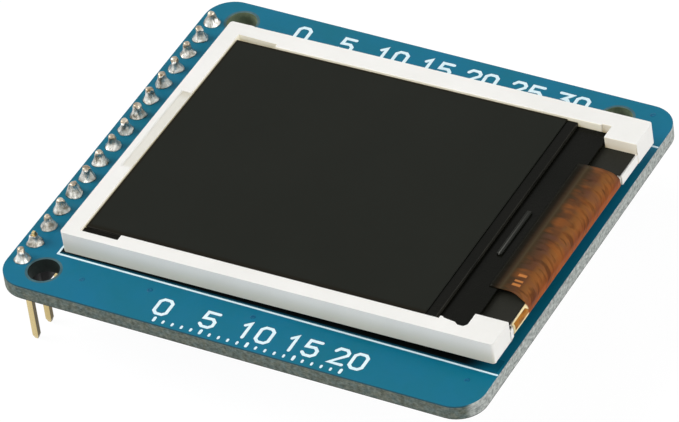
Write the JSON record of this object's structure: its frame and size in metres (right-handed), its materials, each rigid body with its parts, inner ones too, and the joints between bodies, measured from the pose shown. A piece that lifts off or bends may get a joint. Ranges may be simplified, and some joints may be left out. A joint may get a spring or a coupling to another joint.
{
  "type": "tft display module",
  "caption": "Colour display panel in a white backlight frame on a blue board with a pin header and card socket.",
  "frame": {"origin": "middle of the circuit board in plan, at the level of the header's pin tips", "axes": "+X from the header to the mouth of the card socket, +Y to the board's back edge with two holes, +Z out of the glass"},
  "size_m": [0.0518, 0.0456, 0.0139],
  "materials": {
    "board": "gloss blue solder mask over glass fibre laminate",
    "black_plastic": "moulded, satin",
    "white_plastic": "moulded, satin white",
    "mirror_film": "silvered film",
    "clear_plastic": "polished acrylic",
    "white_film": "frosted film",
    "prism_film": "fine ribbed film",
    "cable_film": "amber polyimide with copper tracks",
    "led": "white case with yellow phosphor",
    "black_tape": "matt black adhesive tape",
    "polarizer": "near black film with an anti-glare surface",
    "panel_glass": "dark glass",
    "silicon": "ground grey silicon",
    "solder": "bright solder",
    "foam": "closed cell foam tape",
    "socket_steel": "tinned sheet steel",
    "gold_plate": "gold flash",
    "capacitor_ceramic": "matt brown ceramic",
    "resistor_body": "black glazed resistor"
  },
  "bodies": {
    "root": {"circuit_board": "board", "header_strip": "black_plastic", "backlight_frame": "white_plastic", "reflector_sheet": "mirror_film", "light_guide": "clear_plastic", "diffuser_film": "white_film", "lower_prism_film": "prism_film", "upper_prism_film": "prism_film", "led_strip": "cable_film", "backlight_leds": "led", "rim_tape": "black_tape", "rear_polarizer": "polarizer", "lower_glass": "panel_glass", "upper_glass": "panel_glass", "front_polarizer": "polarizer", "driver_chip": "silicon", "display_cable": "cable_film", "cable_solder": "solder", "foam_pads": "foam", "card_socket_floor": "black_plastic", "card_socket_rails": "black_plastic", "card_socket_cover": "socket_steel", "card_socket_walls": "socket_steel", "card_contacts": "gold_plate", "voltage_regulator": "black_plastic", "regulator_leads": "solder", "ceramic_capacitors": "capacitor_ceramic", "chip_resistors": "resistor_body", "header_pin_01": "gold_plate", "header_pin_02": "gold_plate", "header_pin_03": "gold_plate", "header_pin_04": "gold_plate", "header_pin_05": "gold_plate", "header_pin_06": "gold_plate", "header_pin_07": "gold_plate", "header_pin_08": "gold_plate", "header_pin_09": "gold_plate", "header_pin_10": "gold_plate", "header_pin_11": "gold_plate", "header_pin_12": "gold_plate", "header_pin_13": "gold_plate", "header_pin_14": "gold_plate", "header_pin_15": "gold_plate", "header_pin_16": "gold_plate", "solder_joint_01": "solder", "solder_joint_02": "solder", "solder_joint_03": "solder", "solder_joint_04": "solder", "solder_joint_05": "solder", "solder_joint_06": "solder", "solder_joint_07": "solder", "solder_joint_08": "solder", "solder_joint_09": "solder", "solder_joint_10": "solder", "solder_joint_11": "solder", "solder_joint_12": "solder", "solder_joint_13": "solder", "solder_joint_14": "solder", "solder_joint_15": "solder", "solder_joint_16": "solder"}
  },
  "joints": []
}
